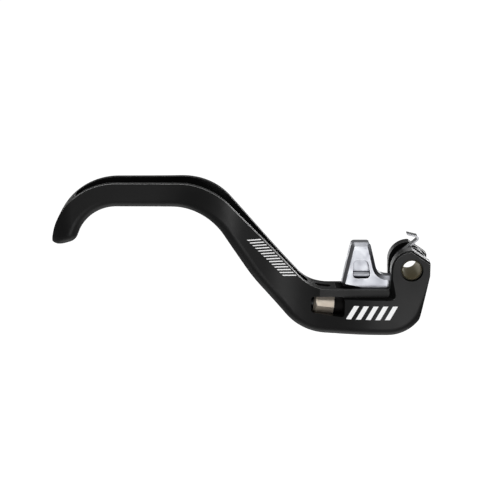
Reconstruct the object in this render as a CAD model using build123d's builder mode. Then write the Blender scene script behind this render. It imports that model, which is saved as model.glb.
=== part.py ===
from build123d import *
import math
import os

# Bicycle brake lever: a forged blade with a forked knuckle, the rocker that works the
# master piston, its return spring, the pivot sleeve and the hand-turned reach adjuster.
# The origin is on the pivot axis, midway between the ears. +X runs from the finger tip
# to the pivot, +Y across the lever, and +Z points from the fingers to the handlebar.

# Pivot
pivot_bore_d = 5.0
sleeve_wall = 0.3
sleeve_inset = 0.8
sleeve_groove_width = 0.25
sleeve_groove_depth = 1.6
running_clearance = 0.05

# Fork and ears
fork_width = 13.6
slot_width = 6.0
ear_radius = 5.5
ear_front_x = 4.9
ear_front_drop = 1.5
ear_flat_distance = 4.5
ear_flat_angle = 55.0
ear_edge_break = 0.5
ear_break_end_z = -3.0

# Knuckle
knuckle_top_z = -6.0
knuckle_bottom_z = -18.65
knuckle_back_x = -26.8
knuckle_back_radius = 11.0
knuckle_front_x = -29.15
knuckle_front_radius = 14.0
knuckle_nose_x = 1.55
knuckle_nose_radius = 10.5

# Finger pad, bend and hooked tip
pad_back_z = 23.4
pad_depth = 6.6
bend_back_x = -53.9
bend_back_radius = 18.0
bend_front_x = -55.05
bend_front_radius = 16.0
arm_front_x = -42.55
arm_front_z = -2.85
arm_front_radius = 55.0
hook_center_x = -78.8
hook_back_radius = 17.6
tip_slope = 21.0
tip_inner_angle = 169.7
tip_corner_radius = 3.2

# Half widths of the blade, seen from above, at stations along its length
tip_half_width = 5.3
pad_half_width = 5.5
bend_half_width = 7.0
arm_half_width = 3.8
tip_round_length = 5.5
tip_overlap = 0.8
pad_station_x = -75.0
bend_start_x = -60.0
bend_start_half_width = 6.1
bend_station_x = -49.0
arm_station_x = -36.0
flare_station_x = -27.5
fork_station_x = -8.0
front_edge_radius = 2.4

# Channel in the back of the blade
channel_wall = 1.7
channel_depth = 3.0
channel_tip_x = -90.0
channel_end_x = -27.5
channel_run_out = 1.5
channel_foot_rise = 2.0
channel_end_radius = 1.5

# Rail beside the slot, set in from the ears
rail_half_width = 4.3
rail_bottom_z = -8.4
rail_corner_radius = 0.8
rail_wall_top_x = -8.1
rail_wall_foot_x = -5.3
rail_wall_taper = 30.0
rail_foot_radius = 1.4

# Slot for the rocker
slot_back_x = -20.0
saddle_top_z = -8.3
saddle_front_x = -15.4
slot_floor_z = -15.4
slot_floor_x = 0.6
slot_lip_x = 1.6
slot_lip_z = -6.6
slot_corner_radius = 0.6

# Reach adjuster: axis, captive nut, friction ring and spindle
adjuster_x = -23.2
adjuster_z = -10.9
adjuster_tilt = 6.0
nut_across_flats = 6.2
nut_start = -2.8
nut_length = 5.5
nut_end_play = 0.15
nut_chamfer_length = 1.0
nut_chamfer_depth = 1.0
nut_pocket_clearance = 0.25
ring_d = 4.9
ring_seat = 5.9
spindle_d = 4.0
spindle_start = -5.6
spindle_clearance = 0.05
spindle_nose_radius = 1.2
spindle_nose_gap = 0.15
spindle_travel = 1.23
window_back_x = -26.7
window_front_x = -17.7
window_top_z = -8.0
window_below_axis = 2.0
window_corner_radius = 0.9
drain_length = 4.4
drain_width = 2.4
drain_x = -23.4
drain_depth = 2.5

# Rocker
rocker_width = 5.0
rocker_edge_break = 0.95
tower_top_z = 6.45
tower_back_x = -15.9
tower_front_x = -10.9
tower_foot_x = -18.55
tower_foot_z = -5.6
tower_corner_radius = 1.1
arm_top_z = -2.85
arm_root_x = -8.65
arm_root_radius = 3.2
arm_bottom_x = -13.5
arm_bottom_z = -6.7
heel_arm_rise = 4.4
heel_rise = 8.0
heel_width = 3.4
heel_below_axis = 1.6
heel_start = 18.2
hub_radius = 4.5
seat_back_x = -15.5
seat_front_x = -10.45
seat_lean = 1.1
seat_top_z = 1.8
seat_bottom_z = -3.4
seat_depth = 1.4
seat_corner_radius = 1.2
seat_roll_radius = 0.9

# Return spring, a flat strip wound on the hub's boss
strip_thickness = 0.45
strip_width = 2.6
strip_side_gap = 0.3
groove_clearance = 0.3
groove_side_clearance = 0.1
boss_radius = 4.25
strip_leave_angle = 131.0
strip_wrap_angle = 265.0
strip_arm_length = 6.1
strip_bend_radius = 0.55
strip_fold_angle = 125.0
strip_tip_length = 2.5

sleeve_od = pivot_bore_d + 2 * sleeve_wall
half_fork = fork_width / 2
half_slot = slot_width / 2
pad_front_z = pad_back_z - pad_depth
hook_front_radius = hook_back_radius - pad_depth
hook_center = (hook_center_x, pad_back_z - hook_back_radius)
tip_x = hook_center_x - hook_back_radius
oversize = 40.0
nut_corner_radius = nut_across_flats / math.sqrt(3)

adjuster_direction = Vector(math.cos(math.radians(adjuster_tilt)), 0, -math.sin(math.radians(adjuster_tilt)))
adjuster_plane = Plane(
    origin=(adjuster_x, 0, adjuster_z),
    x_dir=(0, 1, 0),
    z_dir=adjuster_direction,
)


def axis_z(x):
    return adjuster_z - (x - adjuster_x) * math.tan(math.radians(adjuster_tilt))


def axis_point(along, above):
    """A point (x, z) at a distance along the adjuster axis and square above it."""
    tilt = math.radians(adjuster_tilt)
    x = adjuster_x + along * math.cos(tilt) + above * math.sin(tilt)
    z = adjuster_z - along * math.sin(tilt) + above * math.cos(tilt)
    return (x, z)


# Outline of the ears and of the blade's back
ear_flat_normal = math.radians(ear_flat_angle)
ear_flat_start = ear_flat_angle + math.degrees(math.acos(ear_flat_distance / ear_radius))
ear_flat_foot_z = (ear_flat_distance - ear_front_x * math.cos(ear_flat_normal)) / math.sin(ear_flat_normal)


def hook_point(radius, angle):
    turn = math.radians(angle)
    return (hook_center[0] + radius * math.cos(turn), hook_center[1] + radius * math.sin(turn))


tip_inner = hook_point(hook_front_radius, tip_inner_angle)
tip_outer_x = tip_x - oversize
tip_outer = (tip_outer_x, tip_inner[1] - (tip_inner[0] - tip_outer_x) * math.tan(math.radians(tip_slope)))

# Channel in the back, a band below the back's outline within the side walls
bend_turn = math.atan2(pad_back_z - knuckle_top_z, knuckle_back_x - bend_back_x)
channel_bend = (bend_back_x - channel_depth * math.tan(bend_turn / 2), pad_back_z - channel_depth)
channel_foot_z = knuckle_top_z + channel_foot_rise
channel_foot = (channel_bend[0] + (channel_bend[1] - channel_foot_z) / math.tan(bend_turn), channel_foot_z)
channel_run_out_x = channel_end_x + channel_run_out

with BuildPart() as channel:
    with BuildSketch(Plane.XZ):
        with BuildLine():
            channel_hook = CenterArc(hook_center, hook_back_radius - channel_depth, 180, -90)
            floor = FilletPolyline(
                channel_hook @ 1,
                channel_bend,
                channel_foot,
                (channel_run_out_x, knuckle_top_z),
                radius=(bend_back_radius - channel_depth, channel_foot_rise),
            )
            Polyline(
                floor @ 1,
                (channel_run_out_x, oversize),
                (channel_hook.position_at(0).X, oversize),
                channel_hook @ 0,
            )
        make_face()
    extrude(amount=oversize, both=True)
    with BuildSketch(Plane.XY) as channel_plan:
        with BuildLine():
            channel_side = Spline(
                (channel_tip_x, tip_half_width - channel_wall),
                (pad_station_x, pad_half_width - channel_wall),
                (bend_start_x, bend_start_half_width - channel_wall),
                (bend_station_x, bend_half_width - channel_wall),
                (arm_station_x, arm_half_width - channel_wall),
                (channel_end_x, arm_half_width - channel_wall),
                tangents=((1, 0), (1, 0)),
            )
            mirror(about=Plane.XZ)
            Line((channel_tip_x, tip_half_width - channel_wall), (channel_tip_x, channel_wall - tip_half_width))
            Line((channel_end_x, arm_half_width - channel_wall), (channel_end_x, channel_wall - arm_half_width))
        make_face()
        fillet(channel_plan.vertices().group_by(Axis.X)[0], radius=channel_end_radius)
        fillet(channel_plan.vertices().group_by(Axis.X)[-1], radius=channel_end_radius)
    extrude(amount=oversize, both=True, mode=Mode.INTERSECT)

# Recess that sets the rails beside the slot in from the ears, with a leaning wall at the ear
with BuildPart() as rail_recess:
    with BuildSketch(Plane.XZ.offset(rail_half_width)):
        with BuildLine():
            Polyline(
                (knuckle_back_x, ear_radius),
                (knuckle_back_x, 2 * rail_bottom_z),
                (2 * rail_wall_foot_x - rail_wall_top_x, 2 * rail_bottom_z - ear_radius),
                (rail_wall_foot_x, rail_bottom_z),
                (rail_wall_top_x, ear_radius),
                close=True,
            )
        make_face()
    extrude(amount=fork_width, taper=-rail_wall_taper)
    split(bisect_by=Plane.XY.offset(rail_bottom_z))
    fillet(rail_recess.faces().sort_by(Axis.Z)[0].edges().sort_by(Axis.X)[-1], radius=rail_foot_radius)
    mirror(about=Plane.XZ)

# Blade
with BuildPart() as blade:
    # Front of the blade, left oversize at the back so that only the front is rounded
    with BuildSketch(Plane.XZ) as front_profile:
        with BuildLine():
            Line(tip_outer, tip_inner)
            inner_hook = CenterArc(hook_center, hook_front_radius, tip_inner_angle, 90 - tip_inner_angle)
            front = FilletPolyline(
                inner_hook @ 1,
                (bend_front_x, pad_front_z),
                (arm_front_x, arm_front_z),
                (knuckle_front_x, knuckle_bottom_z),
                (knuckle_nose_x, knuckle_bottom_z),
                (ear_front_x + front_edge_radius, -ear_front_drop),
                radius=(bend_front_radius, arm_front_radius, knuckle_front_radius, knuckle_nose_radius),
            )
            Polyline(
                front @ 1,
                (ear_front_x + front_edge_radius, oversize),
                (tip_outer_x, oversize),
                tip_outer,
            )
        make_face()
        fillet(front_profile.vertices().sort_by_distance(tip_inner)[0], radius=tip_corner_radius)
    extrude(amount=oversize, both=True)
    # Width of the blade, seen from above
    with BuildSketch(Plane.XY):
        with BuildLine():
            nose = EllipticalCenterArc(
                (tip_x + tip_round_length, 0),
                tip_round_length + tip_overlap,
                tip_half_width,
                start_angle=90,
                arc_size=90,
            )
            side = Spline(
                nose @ 0,
                (pad_station_x, pad_half_width),
                (bend_start_x, bend_start_half_width),
                (bend_station_x, bend_half_width),
                (arm_station_x, arm_half_width),
                (flare_station_x, arm_half_width),
                (fork_station_x, half_fork),
                tangents=((1, 0), (1, 0)),
            )
            Line(side @ 1, (oversize, half_fork))
            mirror(about=Plane.XZ)
            Line((oversize, half_fork), (oversize, -half_fork))
        make_face()
    extrude(amount=2 * oversize, both=True, mode=Mode.INTERSECT)
    front_faces = blade.faces().filter_by(
        lambda face: abs(face.normal_at().Y) < 0.01 and face.center().Z < pad_back_z
    )
    front_faces = front_faces.filter_by(lambda face: face.center().X < ear_front_x + front_edge_radius / 2)
    front_edges = front_faces.edges().filter_by(lambda edge: abs(edge.tangent_at(0.5).Y) < 0.9)
    fillet(front_edges, radius=front_edge_radius)
    # Back of the blade and the ears
    with BuildSketch(Plane.XZ):
        with BuildLine():
            outer_hook = CenterArc(hook_center, hook_back_radius, 180, -90)
            back = FilletPolyline(
                outer_hook @ 1,
                (bend_back_x, pad_back_z),
                (knuckle_back_x, knuckle_top_z),
                (-ear_radius, knuckle_top_z),
                (-ear_radius, 0),
                radius=(bend_back_radius, knuckle_back_radius, rail_corner_radius),
            )
            ear_arc = CenterArc((0, 0), ear_radius, 180, ear_flat_start - 180)
            Polyline(
                ear_arc @ 1,
                (ear_front_x, ear_flat_foot_z),
                (ear_front_x, -ear_front_drop),
                (knuckle_nose_x, knuckle_bottom_z),
                (oversize, knuckle_bottom_z),
                (oversize, 2 * oversize),
                (tip_outer_x, 2 * oversize),
                (tip_outer_x, -oversize),
                (tip_x, -oversize),
                outer_hook @ 0,
            )
        make_face()
    extrude(amount=oversize, both=True, mode=Mode.SUBTRACT)
    add(channel.part, mode=Mode.SUBTRACT)
    add(rail_recess.part, mode=Mode.SUBTRACT)
    # Slot for the rocker, open at the top and to the right
    with BuildSketch(Plane.XZ):
        with BuildLine():
            slot_bottom = FilletPolyline(
                (slot_back_x, oversize),
                (slot_back_x, saddle_top_z),
                (saddle_front_x, saddle_top_z),
                (saddle_front_x, slot_floor_z),
                (slot_floor_x, slot_floor_z),
                (slot_lip_x, slot_lip_z),
                (oversize, slot_lip_z),
                radius=slot_corner_radius,
            )
            Polyline(slot_bottom @ 1, (oversize, oversize), slot_bottom @ 0)
        make_face()
    extrude(amount=half_slot, both=True, mode=Mode.SUBTRACT)
    # Window through which the reach nut is turned
    with BuildSketch(Plane.XZ) as window:
        with BuildLine():
            Polyline(
                (window_back_x, window_top_z),
                (window_front_x, window_top_z),
                (window_front_x, axis_z(window_front_x) - window_below_axis),
                (window_back_x, axis_z(window_back_x) - window_below_axis),
                close=True,
            )
        make_face()
        fillet(window.vertices(), radius=window_corner_radius)
    extrude(amount=oversize, both=True, mode=Mode.SUBTRACT)
    # Round pockets for the nut and the friction ring, and the spindle's blind bore
    with BuildSketch(adjuster_plane.offset(nut_start - nut_end_play)):
        Circle(nut_corner_radius + nut_pocket_clearance)
    extrude(amount=nut_length + 2 * nut_end_play, mode=Mode.SUBTRACT)
    with BuildSketch(adjuster_plane.offset(nut_start)):
        Circle(ring_d / 2)
    extrude(amount=ring_seat - nut_start, mode=Mode.SUBTRACT)
    with BuildSketch(adjuster_plane.offset(spindle_start - spindle_travel - spindle_clearance)):
        Circle(spindle_d / 2 + spindle_clearance)
    extrude(amount=heel_start - spindle_start, mode=Mode.SUBTRACT)
    # Oval drain from the knuckle's back into the nut's pocket
    with BuildSketch(Plane.XY.offset(knuckle_top_z - drain_depth)):
        with Locations((drain_x, 0)):
            SlotOverall(drain_length, drain_width)
    extrude(amount=oversize, mode=Mode.SUBTRACT)
    # Pivot bore for the sleeve
    with BuildSketch(Plane.XZ):
        Circle(sleeve_od / 2)
    extrude(amount=oversize, both=True, mode=Mode.SUBTRACT)
    # Grooves round the ends of the sleeve
    with BuildSketch(Plane.XZ.offset(half_fork - sleeve_groove_depth)):
        Circle(sleeve_od / 2 + sleeve_groove_width)
    extrude(amount=oversize, mode=Mode.SUBTRACT)
    with BuildSketch(Plane.XZ.offset(sleeve_groove_depth - half_fork)):
        Circle(sleeve_od / 2 + sleeve_groove_width)
    extrude(amount=-oversize, mode=Mode.SUBTRACT)
    # Broken edges round the ears
    ear_faces = blade.faces().filter_by(Axis.Y).group_by(lambda face: abs(face.center().Y))[-1]
    ear_edges = ear_faces.edges().filter_by(
        lambda edge: edge.center().Z > ear_break_end_z
        and edge.center().X < ear_front_x - ear_edge_break
        and math.hypot(edge.center().X, edge.center().Z) > (ear_radius + sleeve_od / 2) / 2
    )
    chamfer(ear_edges, length=ear_edge_break)

# Pivot sleeve, pressed into the ears
with BuildPart() as sleeve:
    with BuildSketch(Plane.XZ):
        Circle(sleeve_od / 2)
        Circle(pivot_bore_d / 2, mode=Mode.SUBTRACT)
    extrude(amount=half_fork - sleeve_inset, both=True)

# Rocker
heel_end = heel_start + heel_width
groove_y = half_slot - strip_side_gap - strip_width - groove_side_clearance

with BuildPart() as rocker:
    with BuildSketch(Plane.XZ) as rocker_outline:
        with BuildLine():
            Polyline(
                (tower_foot_x, tower_foot_z),
                (tower_back_x, tower_top_z),
                (tower_front_x, tower_top_z),
                (arm_root_x, arm_top_z),
                (0, arm_top_z),
                axis_point(heel_end, heel_rise),
                axis_point(heel_end, -heel_below_axis),
                axis_point(heel_start, -heel_below_axis),
                axis_point(heel_start, heel_arm_rise),
                (arm_bottom_x, arm_bottom_z),
                close=True,
            )
        make_face()
        fillet(
            rocker_outline.vertices().sort_by_distance((tower_back_x, tower_top_z))[0],
            radius=tower_corner_radius,
        )
        fillet(
            rocker_outline.vertices().sort_by_distance((tower_front_x, tower_top_z))[0],
            radius=tower_corner_radius,
        )
        fillet(
            rocker_outline.vertices().sort_by_distance((tower_foot_x, tower_foot_z))[0],
            radius=tower_corner_radius,
        )
        fillet(
            rocker_outline.vertices().sort_by_distance((arm_root_x, arm_top_z))[0],
            radius=arm_root_radius,
        )
        Circle(hub_radius)
    extrude(amount=rocker_width / 2, both=True)
    # Bevelled edges round the tower
    side_faces = rocker.faces().filter_by(Axis.Y)
    tower_edges = side_faces.edges().filter_by(lambda edge: edge.center().X < -hub_radius)
    chamfer(tower_edges, length=rocker_edge_break)
    # Seats recessed in both sides, each with a rounded roll along its bottom
    for side in (Plane.XZ.offset(rocker_width / 2), Plane.XZ.offset(-rocker_width / 2)):
        inward = -seat_depth if side.origin.Y < 0 else seat_depth
        with BuildSketch(side) as seat:
            with BuildLine():
                Polyline(
                    (seat_back_x, seat_top_z),
                    (seat_front_x - seat_lean, seat_top_z),
                    (seat_front_x, seat_bottom_z),
                    (seat_back_x, seat_bottom_z),
                    close=True,
                )
            make_face()
            fillet(seat.vertices(), radius=seat_corner_radius)
        extrude(amount=inward, mode=Mode.SUBTRACT)
    with BuildSketch(Plane.YZ.offset(seat_back_x)):
        with Locations(
            (rocker_width / 2 - seat_depth, seat_bottom_z + seat_roll_radius),
            (seat_depth - rocker_width / 2, seat_bottom_z + seat_roll_radius),
        ):
            Circle(seat_roll_radius)
    extrude(amount=seat_front_x - seat_back_x)
    # Groove round the boss for the return spring, and the bore that runs on the sleeve
    with BuildSketch(Plane.XZ.offset(groove_y)):
        Circle(boss_radius + strip_thickness + groove_clearance)
        Circle(boss_radius, mode=Mode.SUBTRACT)
    extrude(amount=rocker_width, mode=Mode.SUBTRACT)
    with BuildSketch(Plane.XZ):
        Circle(sleeve_od / 2 + running_clearance)
    extrude(amount=rocker_width, both=True, mode=Mode.SUBTRACT)

# Return spring: wound on the boss, then a straight arm folded back at its end
strip_middle_radius = boss_radius + strip_thickness / 2

with BuildPart() as spring:
    with BuildSketch(Plane.XZ.offset(half_slot - strip_side_gap - strip_width)):
        with BuildLine():
            wrap = CenterArc(
                (0, 0),
                strip_middle_radius,
                strip_leave_angle + strip_wrap_angle,
                -strip_wrap_angle,
            )
            arm = PolarLine(wrap @ 1, strip_arm_length, direction=wrap % 1)
            fold = JernArc(arm @ 1, arm % 1, strip_bend_radius, strip_fold_angle)
            PolarLine(fold @ 1, strip_tip_length, direction=fold % 1)
            offset(amount=strip_thickness / 2)
        make_face()
    extrude(amount=strip_width)

# Reach nut, captive in the window
with BuildPart() as nut:
    with BuildSketch(adjuster_plane.offset(nut_start)):
        Circle(nut_corner_radius)
    extrude(amount=nut_length)
    chamfer(nut.edges().sort_by(Axis.X)[0], length=nut_chamfer_length, length2=nut_chamfer_depth)
    with BuildSketch(adjuster_plane.offset(nut_start)):
        RegularPolygon(nut_corner_radius, 6)
    extrude(amount=nut_length, mode=Mode.INTERSECT)
    with BuildSketch(adjuster_plane.offset(nut_start)):
        Circle(spindle_d / 2 + spindle_clearance)
    extrude(amount=nut_length, mode=Mode.SUBTRACT)

# Friction ring, seated in the end of the window
with BuildPart() as ring:
    with BuildSketch(adjuster_plane.offset(nut_start + nut_length + nut_end_play)):
        Circle(ring_d / 2)
        Circle(spindle_d / 2 + spindle_clearance, mode=Mode.SUBTRACT)
    extrude(amount=ring_seat - nut_start - nut_length - nut_end_play)

# Spindle that pushes the rocker's heel
with BuildPart() as spindle:
    with BuildSketch(adjuster_plane.offset(spindle_start)):
        Circle(spindle_d / 2)
    extrude(amount=heel_start - spindle_nose_gap - spindle_start)
    fillet(spindle.edges().sort_by(Axis.X)[-1], radius=spindle_nose_radius)

os.makedirs("parts", exist_ok=True)
blade.part.label = "lever_blade"
sleeve.part.label = "pivot_sleeve"
rocker.part.label = "rocker"
spring.part.label = "return_spring"
nut.part.label = "reach_nut"
ring.part.label = "friction_ring"
spindle.part.label = "reach_spindle"
export_step(blade.part, "parts/lever_blade.step")
export_step(sleeve.part, "parts/pivot_sleeve.step")
export_step(rocker.part, "parts/rocker.step")
export_step(spring.part, "parts/return_spring.step")
export_step(nut.part, "parts/reach_nut.step")
export_step(ring.part, "parts/friction_ring.step")
export_step(spindle.part, "parts/reach_spindle.step")
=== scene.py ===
import bpy
import math
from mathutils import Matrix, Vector


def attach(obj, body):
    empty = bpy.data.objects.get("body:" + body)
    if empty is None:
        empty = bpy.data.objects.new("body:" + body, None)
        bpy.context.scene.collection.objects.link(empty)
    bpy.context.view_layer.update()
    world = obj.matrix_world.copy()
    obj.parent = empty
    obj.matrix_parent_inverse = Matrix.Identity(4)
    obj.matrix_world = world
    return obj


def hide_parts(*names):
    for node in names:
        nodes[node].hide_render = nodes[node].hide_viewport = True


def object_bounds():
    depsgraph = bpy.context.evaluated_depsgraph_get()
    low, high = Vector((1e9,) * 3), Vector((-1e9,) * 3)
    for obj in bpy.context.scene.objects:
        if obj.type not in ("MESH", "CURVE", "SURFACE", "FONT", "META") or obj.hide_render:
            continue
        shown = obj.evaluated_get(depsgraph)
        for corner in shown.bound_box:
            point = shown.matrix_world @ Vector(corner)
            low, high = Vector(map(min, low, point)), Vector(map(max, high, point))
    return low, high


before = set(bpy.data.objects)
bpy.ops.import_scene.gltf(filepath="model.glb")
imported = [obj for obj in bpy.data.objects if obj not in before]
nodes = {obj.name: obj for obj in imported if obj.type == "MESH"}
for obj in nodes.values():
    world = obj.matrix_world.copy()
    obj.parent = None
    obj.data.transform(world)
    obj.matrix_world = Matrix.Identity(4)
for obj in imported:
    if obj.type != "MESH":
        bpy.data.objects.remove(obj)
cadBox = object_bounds()
print("frame loaded:", len(nodes), "nodes")


# node helpers: a node with its inputs, then sums, masks, places and blends

def addNode(tree, kind, inputs=None, **settings):
    node = tree.nodes.new(kind)
    for key, value in settings.items():
        setattr(node, key, value)
    for key, value in (inputs or {}).items():
        if isinstance(value, bpy.types.NodeSocket):
            tree.links.new(value, node.inputs[key])
        else:
            node.inputs[key].default_value = value
    return node


def sums(tree, operation, first, second=0.0, third=0.0):
    inputs = {0: first, 1: second, 2: third}
    return addNode(tree, "ShaderNodeMath", inputs, operation=operation).outputs[0]


def product(tree, first, *others):
    for other in others:
        first = sums(tree, "MULTIPLY", first, other)
    return first


def spread(tree, value, low, high, toLow=0.0, toHigh=1.0):
    inputs = {"Value": value, "From Min": low, "From Max": high, "To Min": toLow, "To Max": toHigh}
    return addNode(tree, "ShaderNodeMapRange", inputs).outputs["Result"]


def between(tree, value, low, high):
    return product(tree, sums(tree, "GREATER_THAN", value, low), sums(tree, "LESS_THAN", value, high))


def onSurface(tree, kind):
    return addNode(tree, "ShaderNodeTexCoord").outputs[kind]


def axes(tree, vector):
    parts = addNode(tree, "ShaderNodeSeparateXYZ", {0: vector})
    return [parts.outputs[axis] for axis in "XYZ"]


def distance(tree, first, second):
    squares = sums(tree, "MULTIPLY_ADD", first, first, product(tree, second, second))
    return sums(tree, "SQRT", squares)


def blendColor(tree, mask, first, second):
    mix = addNode(tree, "ShaderNodeMix", data_type="RGBA")  # its colour sockets have numbers only
    for socket, value in ((mix.inputs[0], mask), (mix.inputs[6], first), (mix.inputs[7], second)):
        if isinstance(value, bpy.types.NodeSocket):
            tree.links.new(value, socket)
        else:
            socket.default_value = value
    return mix.outputs[2]


def newGroup(name, inputs, outputs):
    group = bpy.data.node_groups.new(name, "ShaderNodeTree")
    for label, value in inputs.items():
        socket = group.interface.new_socket(label, in_out="INPUT", socket_type="NodeSocketFloat")
        socket.default_value = value
    for label in outputs:
        group.interface.new_socket(label, in_out="OUTPUT", socket_type="NodeSocketFloat")
    source = group.nodes.new("NodeGroupInput").outputs
    result = group.nodes.new("NodeGroupOutput").inputs
    return group, source, result


def useGroup(tree, group, **inputs):
    node = addNode(tree, "ShaderNodeGroup", node_tree=group)
    for label, value in inputs.items():
        node.inputs[label].default_value = value
    return node.outputs


# effects that several finishes share
effects = {
    "fineNoise": {"Detail": 2.0, "Roughness": 0.6},
    "slowNoise": {"Detail": 4.0, "Roughness": 0.55},
    "patchRange": (0.3, 0.7),
    "edgeStart": 0.01,
    "edgeSamples": 6,
    "recessShadeRange": (0.85, 0.45),
    "recessShadeSamples": 8,
}


# blasted metal: a fine grain, and slow patches of wear in the finish
def blastedGroup():
    group, source, result = newGroup("blasted", {"Grain": 4000.0, "Patches": 90.0}, ["Height", "Patch"])
    place = onSurface(group, "Object")
    fine = dict(effects["fineNoise"], Vector=place, Scale=source["Grain"])
    slow = dict(effects["slowNoise"], Vector=place, Scale=source["Patches"])
    height = addNode(group, "ShaderNodeTexNoise", fine).outputs["Fac"]
    patch = addNode(group, "ShaderNodeTexNoise", slow).outputs["Fac"]
    group.links.new(height, result["Height"])
    group.links.new(spread(group, patch, *effects["patchRange"]), result["Patch"])
    return group


# edges, lighter as wear and as painted highlight: where a rounded normal leaves the real one
def edgeWearAndSheenGroup():
    group, source, result = newGroup("edgeWearAndSheen", {"Radius": 0.0003, "Softness": 0.12}, ["Edge", "Up"])
    inputs = {"Radius": source["Radius"]}
    rounded = addNode(group, "ShaderNodeBevel", inputs, samples=effects["edgeSamples"]).outputs["Normal"]
    plain = addNode(group, "ShaderNodeNewGeometry").outputs["Normal"]
    facing = addNode(group, "ShaderNodeVectorMath", {0: rounded, 1: plain}, operation="DOT_PRODUCT")
    away = sums(group, "SUBTRACT", 1.0, facing.outputs["Value"])
    group.links.new(spread(group, away, effects["edgeStart"], source["Softness"]), result["Edge"])
    group.links.new(axes(group, rounded)[2], result["Up"])
    return group


# painted shade: darker in the corners and recesses
def shadeInRecessesGroup():
    group, source, result = newGroup("shadeInRecesses", {"Reach": 0.0008}, ["Grime"])
    inputs = {"Distance": source["Reach"]}
    samples = effects["recessShadeSamples"]
    shade = addNode(group, "ShaderNodeAmbientOcclusion", inputs, samples=samples, only_local=True)
    group.links.new(spread(group, shade.outputs["AO"], *effects["recessShadeRange"]), result["Grime"])
    return group


# painted shade round the pivot, between the ears: full up to the first radius, none past the second
def shadeRoundPivotGroup():
    group, source, result = newGroup("shadeRoundPivot", {"Full": 0.0045, "Gone": 0.0047}, ["Grease"])
    place = axes(group, onSurface(group, "Object"))
    fromPivot = distance(group, place[0], place[2])
    group.links.new(spread(group, fromPivot, source["Full"], source["Gone"], 1.0, 0.0), result["Grease"])
    return group


# fine lines round the pivot, as rolling and turning leave them
def linedGroup():
    group, source, result = newGroup("lined", {"Squeeze": 0.04, "Scale": 9000.0, "Detail": 2.0}, ["Line"])
    squeeze = addNode(group, "ShaderNodeCombineXYZ", {0: source["Squeeze"], 1: 1.0, 2: source["Squeeze"]})
    inputs = {"Vector": onSurface(group, "Object"), "Scale": squeeze.outputs[0]}
    drawn = addNode(group, "ShaderNodeMapping", inputs).outputs[0]
    inputs = {"Vector": drawn, "Scale": source["Scale"], "Detail": source["Detail"]}
    group.links.new(addNode(group, "ShaderNodeTexNoise", inputs).outputs["Fac"], result["Line"])
    return group


# faces that look along the pivot axis
def sidewaysGroup():
    group, source, result = newGroup("sideways", {"Limit": 0.7}, ["Side"])
    facing = axes(group, onSurface(group, "Normal"))
    sideward = sums(group, "ABSOLUTE", facing[1])
    group.links.new(sums(group, "GREATER_THAN", sideward, source["Limit"]), result["Side"])
    return group


blasted = blastedGroup()
edgeWearAndSheen = edgeWearAndSheenGroup()
shadeInRecesses = shadeInRecessesGroup()
shadeRoundPivot = shadeRoundPivotGroup()
lined = linedGroup()
sideways = sidewaysGroup()
print("effects ready: grain, rubbed edges, grime, grease and fine lines")


def newFinish(name, **sockets):
    material = bpy.data.materials.new(name)
    material.use_nodes = True
    shader = material.node_tree.nodes["Principled BSDF"]
    for label, value in sockets.items():
        shader.inputs[label.replace("_", " ")].default_value = value
    return material, material.node_tree, shader


# colour, roughness and bump into the shader; bump is a depth and a strength
def paint(tree, shader, color, roughness, height, bump):
    tree.links.new(color, shader.inputs["Base Color"])
    tree.links.new(roughness, shader.inputs["Roughness"])
    raised = addNode(tree, "ShaderNodeBump", {"Height": height, "Distance": bump[0], "Strength": bump[1]})
    tree.links.new(raised.outputs["Normal"], shader.inputs["Normal"])


def dress(nodeName, material):
    nodes[nodeName].data.materials.clear()
    nodes[nodeName].data.materials.append(material)


# lever blade: satin black, its edges lighter as rubbed wear and as painted highlight, a painted highlight
# on the ear flats, a white hatch on the arm and bars on the cheek
blade = {
    "black": (0.0024, 0.0024, 0.0025, 1),
    "worn": (0.0045, 0.0045, 0.0046, 1),
    "specular": 0.26,
    "grain": 5200.0,
    "patches": 70.0,
    "roughness": (0.36, 0.46),
    "bump": (0.00002, 0.15),
    "edge": (0.75, 0.75, 0.75, 1),
    "edgeRadius": 0.00017,
    "edgeSoftness": 0.15,
    "edgeUp": (0.1, 0.45),  # edges that look up get the painted highlight and the wear, the rest hardly
    "edgeUpRub": (0.03, 1.0),
    "edgePatchRub": (0.6, 1.0),
    "handledAbove": -0.0081,
    "handledFrom": 0.0037,
    "hookFade": (-0.0920, -0.0895),
    "railFade": (-0.045, -0.030),
    "railRub": (1.0, 0.35),
    "railBelow": -0.003,
    "earFade": (-0.002, 0.002),  # across the fork, from the near ear to the far one
    "earRub": (1.0, 0.35),
    "flatHighlight": (0.60, 0.60, 0.61, 1),
    "flatNormal": (0.574, 0.0, 0.819),
    "flatFacing": (0.45, 0.95),
    "flatSideways": (-0.4, 0.4),
    "flatReach": (0.0042, 0.0064),
    "flatEarPower": 3.0,
    "flatPatch": (0.55, 1.0),
    "print": (0.90, 0.90, 0.90, 1),
    "printFacing": -0.7,
    "printNear": -0.0025,
    "rowPitch": 0.00079,
    "rowCount": 14,
    "rowBottom": -0.0023,
    "rowInk": 0.37,
    "armLine": (0.7353, 0.6777),
    "hatchOuter": -0.02413,
    "hatchInner": -0.0268,
    "barCount": 5,
    "barPitch": 0.0026,
    "barInk": 0.52,
    "barSlant": 0.55,
    "barLeft": -0.0163,
    "barLow": -0.0138,
    "barHigh": -0.0100,
}


# level lines within a band along the arm's back
def hatchMask(tree, x, z):
    alongX, alongZ = blade["armLine"]
    across = sums(tree, "ADD", product(tree, x, alongX), product(tree, z, alongZ))
    band = between(tree, across, blade["hatchInner"], blade["hatchOuter"])
    height = sums(tree, "DIVIDE", sums(tree, "SUBTRACT", z, blade["rowBottom"]), blade["rowPitch"])
    rows = between(tree, height, 0, blade["rowCount"])
    ink = sums(tree, "LESS_THAN", sums(tree, "FRACT", height), blade["rowInk"])
    return product(tree, band, rows, ink)


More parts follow.
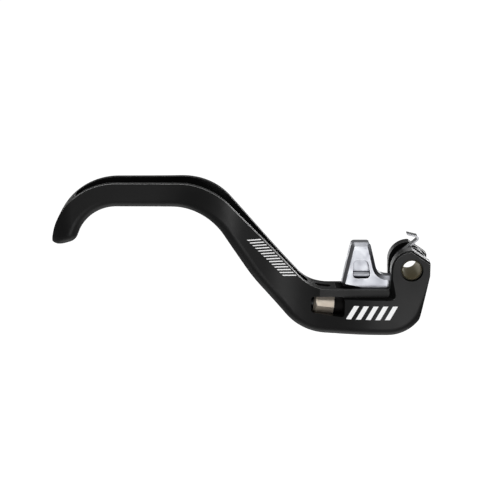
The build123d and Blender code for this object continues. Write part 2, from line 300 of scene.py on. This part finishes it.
# a row of slanted bars
def barMask(tree, x, z):
    start = blade["barLeft"] - blade["barSlant"] * (blade["barLow"] + blade["barHigh"]) / 2
    slanted = sums(tree, "MULTIPLY_ADD", z, -blade["barSlant"], x)
    step = sums(tree, "DIVIDE", sums(tree, "SUBTRACT", slanted, start), blade["barPitch"])
    ink = sums(tree, "LESS_THAN", sums(tree, "FRACT", step), blade["barInk"])
    bars = between(tree, step, 0, blade["barCount"])
    return product(tree, ink, bars, between(tree, z, blade["barLow"], blade["barHigh"]))


# print on the near side only
def printMask(tree, place, facing):
    x, y, z = place
    outer = sums(tree, "LESS_THAN", facing[1], blade["printFacing"])
    near = sums(tree, "LESS_THAN", y, blade["printNear"])
    printed = sums(tree, "MAXIMUM", hatchMask(tree, x, z), barMask(tree, x, z))
    return product(tree, printed, outer, near)


# edges rubbed by hand and painted as highlight lines, most where they look up: not low down, in the pivot
# bore or on the hook's end, less on rails and far ear
def wearAndHighlightMask(tree, place, patch, nearEar):
    x, z = place[0], place[2]
    edges = useGroup(tree, edgeWearAndSheen, Radius=blade["edgeRadius"], Softness=blade["edgeSoftness"])
    # edges that look up get the painted highlight
    handled = spread(tree, edges["Up"], *blade["edgeUp"], *blade["edgeUpRub"])
    uneven = spread(tree, patch, 0, 1, *blade["edgePatchRub"])
    above = sums(tree, "GREATER_THAN", z, blade["handledAbove"])
    outside = sums(tree, "GREATER_THAN", distance(tree, x, z), blade["handledFrom"])
    hook = spread(tree, x, *blade["hookFade"])
    rails = spread(tree, x, *blade["railFade"], *blade["railRub"])
    kept = sums(tree, "MAXIMUM", rails, sums(tree, "GREATER_THAN", z, blade["railBelow"]))
    return product(tree, edges["Edge"], handled, uneven, above, outside, hook, kept, nearEar)


# painted highlight on the ear's flat, standing for the bright backdrop reflected there, brightest on the
# near ear
def flatHighlightMask(tree, place, normal, facing, patch, nearEar):
    inputs = {0: normal, 1: blade["flatNormal"]}
    onFlat = addNode(tree, "ShaderNodeVectorMath", inputs, operation="DOT_PRODUCT").outputs["Value"]
    flat = spread(tree, onFlat, *blade["flatFacing"])
    level = between(tree, facing[1], *blade["flatSideways"])
    reached = between(tree, distance(tree, place[0], place[2]), *blade["flatReach"])
    near = sums(tree, "POWER", nearEar, blade["flatEarPower"])
    uneven = spread(tree, patch, 0, 1, *blade["flatPatch"])
    return product(tree, flat, level, reached, near, uneven)


def bladeFinish():
    material, tree, shader = newFinish("satinBlack", Metallic=0.0, Specular_IOR_Level=blade["specular"])
    grain = useGroup(tree, blasted, Grain=blade["grain"], Patches=blade["patches"])
    patch = grain["Patch"]
    place = axes(tree, onSurface(tree, "Object"))
    normal = onSurface(tree, "Normal")
    facing = axes(tree, normal)
    nearEar = spread(tree, place[1], *blade["earFade"], *blade["earRub"])
    color = blendColor(tree, patch, blade["black"], blade["worn"])
    # edges painted light: part rubbed wear, part painted highlight
    color = blendColor(tree, wearAndHighlightMask(tree, place, patch, nearEar), color, blade["edge"])
    # painted highlight on the ear flats
    color = blendColor(tree, flatHighlightMask(tree, place, normal, facing, patch, nearEar), color, blade["flatHighlight"])
    color = blendColor(tree, printMask(tree, place, facing), color, blade["print"])
    roughness = spread(tree, patch, 0, 1, *blade["roughness"])
    paint(tree, shader, color, roughness, grain["Height"], blade["bump"])
    return material


dress("lever_blade", bladeFinish())
print("lever blade finished")


# rocker: bright casting, cool in tone, its edges lighter as tumbled wear and as painted highlight, with
# painted shade in its recesses and on its hub between the ears
rocker = {
    "light": (0.495, 0.505, 0.53, 1),
    "shade": (0.42, 0.43, 0.475, 1),
    "grain": 2600.0,
    "patches": 260.0,
    "roughness": (0.34, 0.48),
    "bump": (0.00004, 0.22),
    "edge": (0.80, 0.81, 0.83, 1),
    "edgeRadius": 0.00025,
    "edgeSoftness": 0.2,
    "recessShade": (0.17, 0.17, 0.20, 1),
    "recessShadeReach": 0.0009,
    "pivotShade": (0.05, 0.05, 0.055, 1),
    "pivotShadeReach": (0.00455, 0.00470),
}


def rockerFinish():
    material, tree, shader = newFinish("brightCasting", Metallic=1.0)
    grain = useGroup(tree, blasted, Grain=rocker["grain"], Patches=rocker["patches"])
    edges = useGroup(tree, edgeWearAndSheen, Radius=rocker["edgeRadius"], Softness=rocker["edgeSoftness"])
    recessShade = useGroup(tree, shadeInRecesses, Reach=rocker["recessShadeReach"])["Grime"]
    full, gone = rocker["pivotShadeReach"]
    pivotShade = useGroup(tree, shadeRoundPivot, Full=full, Gone=gone)["Grease"]
    color = blendColor(tree, grain["Patch"], rocker["light"], rocker["shade"])
    # edges painted light: part tumbled wear, part painted highlight
    color = blendColor(tree, edges["Edge"], color, rocker["edge"])
    # painted shade in the corners and recesses
    color = blendColor(tree, recessShade, color, rocker["recessShade"])
    # painted shade on the hub between the ears
    color = blendColor(tree, pivotShade, color, rocker["pivotShade"])
    roughness = spread(tree, grain["Patch"], 0, 1, *rocker["roughness"])
    paint(tree, shader, color, roughness, grain["Height"], rocker["bump"])
    return material


dress("rocker", rockerFinish())
print("rocker finished")


# return spring: rolled strip with fine lines, dull sheared edges and painted shade on the winding between
# the ears
spring = {
    "steel": (0.46, 0.47, 0.48, 1),
    "dark": (0.36, 0.37, 0.38, 1),
    "lineSqueeze": 0.04,
    "lineScale": 9000.0,
    "lineDetail": 2.0,
    "lineRange": (0.35, 0.65),
    "roughRange": (0.3, 0.7),
    "roughness": (0.30, 0.40),
    "bump": (0.00001, 0.08),
    "sheared": (0.24, 0.24, 0.25, 1),
    "shearedFacing": 0.7,
    "pivotShade": (0.045, 0.045, 0.047, 1),
    "pivotShadeReach": (0.00475, 0.00500),
}


def linesOf(tree, piece):
    values = {"Squeeze": piece["lineSqueeze"], "Scale": piece["lineScale"], "Detail": piece["lineDetail"]}
    return useGroup(tree, lined, **values)["Line"]


def springFinish():
    material, tree, shader = newFinish("rolledStrip", Metallic=1.0)
    line = linesOf(tree, spring)
    sheared = useGroup(tree, sideways, Limit=spring["shearedFacing"])["Side"]
    full, gone = spring["pivotShadeReach"]
    pivotShade = useGroup(tree, shadeRoundPivot, Full=full, Gone=gone)["Grease"]
    color = blendColor(tree, spread(tree, line, *spring["lineRange"]), spring["dark"], spring["steel"])
    color = blendColor(tree, sheared, color, spring["sheared"])
    # painted shade on the winding between the ears
    color = blendColor(tree, pivotShade, color, spring["pivotShade"])
    roughness = spread(tree, line, *spring["roughRange"], *spring["roughness"])
    paint(tree, shader, color, roughness, line, spring["bump"])
    return material


dress("return_spring", springFinish())
print("return spring finished")


# pivot sleeve: dull bronze, turned inside, with painted shade on its ends, which sit back in the ear
# bores
sleeve = {
    "bronze": (0.36, 0.322, 0.21, 1),
    "bright": (0.48, 0.43, 0.28, 1),
    "lineSqueeze": 0.02,
    "lineScale": 14000.0,
    "lineDetail": 1.0,
    "lineRange": (0.35, 0.65),
    "roughRange": (0.3, 0.7),
    "roughness": (0.50, 0.62),
    "bump": (0.00001, 0.4),
    "end": (0.055, 0.050, 0.034, 1),
    "endFacing": 0.7,
}


def sleeveFinish():
    material, tree, shader = newFinish("dullBronze", Metallic=1.0)
    line = linesOf(tree, sleeve)
    end = useGroup(tree, sideways, Limit=sleeve["endFacing"])["Side"]
    color = blendColor(tree, spread(tree, line, *sleeve["lineRange"]), sleeve["bronze"], sleeve["bright"])
    # painted shade on the sleeve's ends, set back in the ear bores
    color = blendColor(tree, end, color, sleeve["end"])
    roughness = spread(tree, line, *sleeve["roughRange"], *sleeve["roughness"])
    paint(tree, shader, color, roughness, line, sleeve["bump"])
    return material


dress("pivot_sleeve", sleeveFinish())
print("pivot sleeve finished")


# reach nut: champagne, its corners lighter as light rubbing and as painted highlight
nut = {
    "champagne": (0.86, 0.77, 0.66, 1),
    "deep": (0.74, 0.64, 0.52, 1),
    "metallic": 0.8,
    "grain": 6000.0,
    "patches": 300.0,
    "roughness": (0.28, 0.38),
    "bump": (0.00001, 0.3),
    "edge": (0.85, 0.80, 0.72, 1),
    "edgeRadius": 0.0002,
    "edgeSoftness": 0.12,
}


def nutFinish():
    material, tree, shader = newFinish("champagneAnodised", Metallic=nut["metallic"])
    grain = useGroup(tree, blasted, Grain=nut["grain"], Patches=nut["patches"])
    edges = useGroup(tree, edgeWearAndSheen, Radius=nut["edgeRadius"], Softness=nut["edgeSoftness"])
    color = blendColor(tree, grain["Patch"], nut["champagne"], nut["deep"])
    # corners painted light: part rubbing, part painted highlight
    color = blendColor(tree, edges["Edge"], color, nut["edge"])
    roughness = spread(tree, grain["Patch"], 0, 1, *nut["roughness"])
    paint(tree, shader, color, roughness, grain["Height"], nut["bump"])
    return material


dress("reach_nut", nutFinish())
print("reach nut finished")


# reach spindle: the plain solid gets its thread, in dark steel, with a rounded nose
spindle = {
    "axisPoint": (-0.0232, 0.0, -0.0109),
    "tilt": math.radians(6.0),
    "start": -0.0056,
    "end": 0.01805,
    "radius": 0.0020,
    "pitch": 0.0007,
    "depth": 0.00043,
    "rootFlat": 0.25,
    "crestFlat": 0.125,
    "steps": 32,
    "spareTurns": 3,  # wound past both ends, then cut off
    "weld": 0.0000005,
    "noseRadius": 0.0012,
    "startChamfer": 0.0004,
    "smoothAngle": math.radians(25.0),
    "steel": (0.11, 0.11, 0.115, 1),
    "grooveShade": (0.035, 0.035, 0.037, 1),
    "grain": 9000.0,
    "patches": 400.0,
    "roughness": (0.45, 0.25),
    "bump": (0.00001, 0.3),
}


# one pitch of the thread, drawn upwards from the middle of a root
def threadProfile():
    bpy.ops.object.select_all(action="DESELECT")
    bpy.ops.mesh.primitive_plane_add(size=spindle["radius"])
    piece = bpy.context.object
    piece.name = "threadedSpindle"
    pitch, depth = spindle["pitch"], spindle["depth"]
    root = spindle["rootFlat"] * pitch
    crest = spindle["crestFlat"] * pitch
    flank = (pitch - root - crest) / 2
    below = spindle["start"] - spindle["spareTurns"] / 2 * pitch
    bpy.ops.object.mode_set(mode="EDIT")
    bpy.ops.mesh.select_all(action="SELECT")
    bpy.ops.mesh.merge(type="CENTER")
    bpy.ops.transform.translate(value=(spindle["radius"] - depth, 0, below))
    for outward, upward in ((0, root / 2), (depth, flank), (0, crest), (-depth, flank), (0, root / 2)):
        bpy.ops.mesh.extrude_vertices_move(TRANSFORM_OT_translate={"value": (outward, 0, upward)})
    bpy.ops.object.mode_set(mode="OBJECT")
    return piece


def windThread(piece):
    length = spindle["end"] - spindle["start"]
    turns = piece.modifiers.new("turns", "SCREW")
    turns.axis = "Z"
    turns.screw_offset = spindle["pitch"]
    turns.iterations = math.ceil(length / spindle["pitch"]) + spindle["spareTurns"]
    turns.steps = spindle["steps"]
    turns.render_steps = spindle["steps"]
    bpy.ops.object.modifier_apply(modifier="turns")
    bpy.ops.object.mode_set(mode="EDIT")
    bpy.ops.mesh.select_all(action="SELECT")
    bpy.ops.mesh.remove_doubles(threshold=spindle["weld"])
    bpy.ops.mesh.normals_make_consistent(inside=False)
    for height, side in ((spindle["start"], -1), (spindle["end"], 1)):  # flat ends, filled
        bpy.ops.mesh.select_all(action="SELECT")
        bpy.ops.mesh.bisect(
            plane_co=(0, 0, height),
            plane_no=(0, 0, side),
            use_fill=True,
            clear_outer=True,
            threshold=spindle["weld"],
        )
    bpy.ops.object.mode_set(mode="OBJECT")


# nothing stands out past the chamfer at the start and the rounding at the nose
def roundEnds(piece):
    radius, nose = spindle["radius"], spindle["noseRadius"]
    for vertex in piece.data.vertices:
        fromStart = vertex.co.z - spindle["start"]
        intoNose = max(0.0, vertex.co.z - spindle["end"] + nose)
        rounded = radius - nose + math.sqrt(max(0.0, nose ** 2 - intoNose ** 2))
        limit = min(rounded, radius - spindle["startChamfer"] + fromStart)
        reach = math.hypot(vertex.co.x, vertex.co.y)
        if reach > limit:
            vertex.co.x *= limit / reach
            vertex.co.y *= limit / reach


def threadedSpindle():
    piece = threadProfile()
    windThread(piece)
    roundEnds(piece)
    piece.rotation_euler = (0, math.pi / 2 + spindle["tilt"], 0)
    piece.location = spindle["axisPoint"]
    bpy.ops.object.transform_apply(location=True, rotation=True, scale=True)
    bpy.ops.object.shade_smooth_by_angle(angle=spindle["smoothAngle"])
    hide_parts("reach_spindle")
    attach(piece, "spindle_body")
    return piece


# painted shade in the grooves, brighter and smoother on the crests
def spindleFinish():
    material, tree, shader = newFinish("threadedSteel", Metallic=1.0)
    inputs = {0: onSurface(tree, "Object"), 1: spindle["axisPoint"]}
    moved = addNode(tree, "ShaderNodeVectorMath", inputs, operation="SUBTRACT").outputs[0]
    inputs = {"Vector": moved, "Rotation": (0, -spindle["tilt"], 0)}
    level = axes(tree, addNode(tree, "ShaderNodeMapping", inputs).outputs[0])
    fromAxis = distance(tree, level[2], level[1])
    height = spread(tree, fromAxis, spindle["radius"] - spindle["depth"], spindle["radius"])
    grain = useGroup(tree, blasted, Grain=spindle["grain"], Patches=spindle["patches"])
    # painted shade in the thread grooves
    color = blendColor(tree, height, spindle["grooveShade"], spindle["steel"])
    roughness = spread(tree, height, 0, 1, *spindle["roughness"])
    paint(tree, shader, color, roughness, grain["Height"], spindle["bump"])
    return material


threadedSpindle().data.materials.append(spindleFinish())
print("reach spindle threaded and finished")


# friction ring: matt rubber
ring = {
    "black": (0.003, 0.0028, 0.0028, 1),
    "dust": (0.008, 0.007, 0.007, 1),
    "specular": 0.15,
    "grain": 7000.0,
    "patches": 500.0,
    "roughness": (0.55, 0.75),
    "bump": (0.00002, 0.5),
}


def ringFinish():
    material, tree, shader = newFinish("mattRubber", Specular_IOR_Level=ring["specular"])
    grain = useGroup(tree, blasted, Grain=ring["grain"], Patches=ring["patches"])
    color = blendColor(tree, grain["Patch"], ring["black"], ring["dust"])
    roughness = spread(tree, grain["Patch"], 0, 1, *ring["roughness"])
    paint(tree, shader, color, roughness, grain["Height"], ring["bump"])
    return material


dress("friction_ring", ringFinish())
print("friction ring finished")


# floor, lights and camera; each card has its place, aim, size and power
studio = {
    "floorDrop": 0.30,
    "floorSize": 16.0,
    "floorColor": (0.5, 0.5, 0.5, 1),
    "floorRoughness": 0.8,
    "floorSpecular": 0.2,
    "floorGlow": (0.95, 0.95, 0.95, 1),
    "floorGlowStrength": 1.0,
    "worldColor": (1, 1, 1, 1),
    "worldStrength": 0.21,
    "target": (-0.04592, 0.0, 0.00673),
    "distance": 0.420,
    "elevation": math.radians(14.2),
    "viewWidth": 0.1296,
    "sensor": 36.0,
    "clipStart": 0.01,
    "cards": {
        "backCard": ((0.32, 0.85, -0.06), (-0.02, 0, 0), (0.30, 0.22), 0.55),
        "rearCard": ((0.0, 0.65, -0.15), (-0.03, 0, 0), (0.45, 0.30), 1.1),
        "topCard": ((-0.04, 0.16, 0.80), (-0.04, 0, 0), (0.45, 0.25), 0.7),
        "sideCard": ((0.80, 0.26, -0.03), (-0.01, 0, 0), (0.2, 0.3), 0.3),
        "keyBox": ((0.10, -0.20, 0.80), (-0.03, 0, 0), (0.5, 0.35), 0.75),
        "upperCard": ((-0.08, -0.62, 0.62), (-0.03, 0, -0.01), (0.35, 0.30), 0.72),
        "lowCard": ((0.10, -0.65, -0.15), (-0.02, 0, 0), (0.16, 0.32), 0.95),
        "floorCard": ((-0.03, 0.02, -0.25), (-0.03, 0, 0), (0.30, 0.22), 0.22),
    },
}


def paleFloor():
    bpy.ops.object.select_all(action="DESELECT")
    drop = cadBox[0][2] - studio["floorDrop"]
    bpy.ops.mesh.primitive_plane_add(size=studio["floorSize"], location=(0, 0, drop))
    floor = bpy.context.object
    floor.name = "floor"
    bpy.ops.object.transform_apply(location=True, rotation=True, scale=True)
    material = newFinish(
        "paleFloor",
        Base_Color=studio["floorColor"],
        Roughness=studio["floorRoughness"],
        Specular_IOR_Level=studio["floorSpecular"],
        Emission_Color=studio["floorGlow"],
        Emission_Strength=studio["floorGlowStrength"],
    )[0]
    floor.data.materials.append(material)
    floor.visible_glossy = False  # the cards light the metal instead


def lightCard(name, place, aim, size, power):
    light = bpy.data.lights.new(name, "AREA")
    light.shape = "RECTANGLE"
    light.size, light.size_y = size
    light.energy = power
    lamp = bpy.data.objects.new(name, light)
    bpy.context.scene.collection.objects.link(lamp)
    lamp.location = place
    lamp.rotation_euler = (Vector(aim) - Vector(place)).to_track_quat("-Z", "Y").to_euler()


def photoCamera():
    camera = bpy.data.objects.new("camera", bpy.data.cameras.new("camera"))
    bpy.context.scene.collection.objects.link(camera)
    back = Vector((0, -math.cos(studio["elevation"]), math.sin(studio["elevation"])))
    camera.location = Vector(studio["target"]) + back * studio["distance"]
    camera.rotation_euler = (-back).to_track_quat("-Z", "Y").to_euler()
    camera.data.sensor_width = studio["sensor"]
    camera.data.lens = studio["sensor"] * studio["distance"] / studio["viewWidth"]
    camera.data.clip_start = studio["clipStart"]
    bpy.context.scene.camera = camera


def whiteWorld():
    world = bpy.data.worlds.new("studio")
    world.use_nodes = True
    background = world.node_tree.nodes["Background"]
    background.inputs["Color"].default_value = studio["worldColor"]
    background.inputs["Strength"].default_value = studio["worldStrength"]
    bpy.context.scene.world = world
    bpy.context.scene.view_settings.view_transform = "Standard"


paleFloor()
for cardName, card in studio["cards"].items():
    lightCard(cardName, *card)
photoCamera()
whiteWorld()
print("studio ready")
